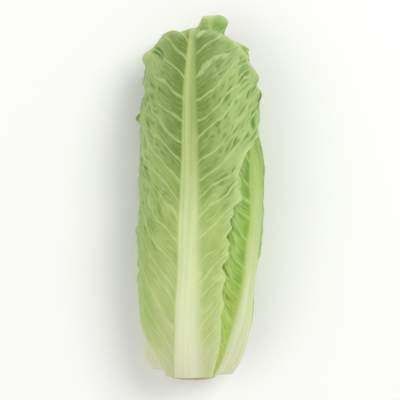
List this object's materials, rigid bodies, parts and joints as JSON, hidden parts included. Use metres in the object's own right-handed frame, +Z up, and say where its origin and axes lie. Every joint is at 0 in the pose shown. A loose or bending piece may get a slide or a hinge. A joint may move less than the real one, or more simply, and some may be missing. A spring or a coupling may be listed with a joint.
{
  "type": "romaine heart",
  "caption": "Romaine lettuce heart lying on its side: a short cut stem with long ribbed leaves wrapped round one another.",
  "frame": {"origin": "on the surface that the heart rests on, below the middle of its bounding box", "axes": "+Y from the cut stem end towards the leaf tips, +Z up, +X to the right when the heart is seen from above with its tips away from the viewer"},
  "size_m": [0.0752, 0.217, 0.0629],
  "materials": {
    "stem": "moist cut flesh, pale cream green",
    "outer_leaf": "satin leaf skin, mid green with a pale rib",
    "middle_leaf": "satin leaf skin, light green with a pale rib",
    "inner_leaf": "satin leaf skin, yellow green with a pale rib"
  },
  "bodies": {
    "root": {"stem": "stem", "leaf_01": "outer_leaf", "leaf_02": "outer_leaf", "leaf_03": "outer_leaf", "leaf_04": "outer_leaf", "leaf_05": "outer_leaf", "leaf_06": "middle_leaf", "leaf_07": "middle_leaf", "leaf_08": "middle_leaf", "leaf_09": "middle_leaf", "leaf_10": "middle_leaf", "leaf_11": "inner_leaf", "leaf_12": "inner_leaf", "leaf_13": "inner_leaf", "leaf_14": "inner_leaf"}
  },
  "joints": []
}
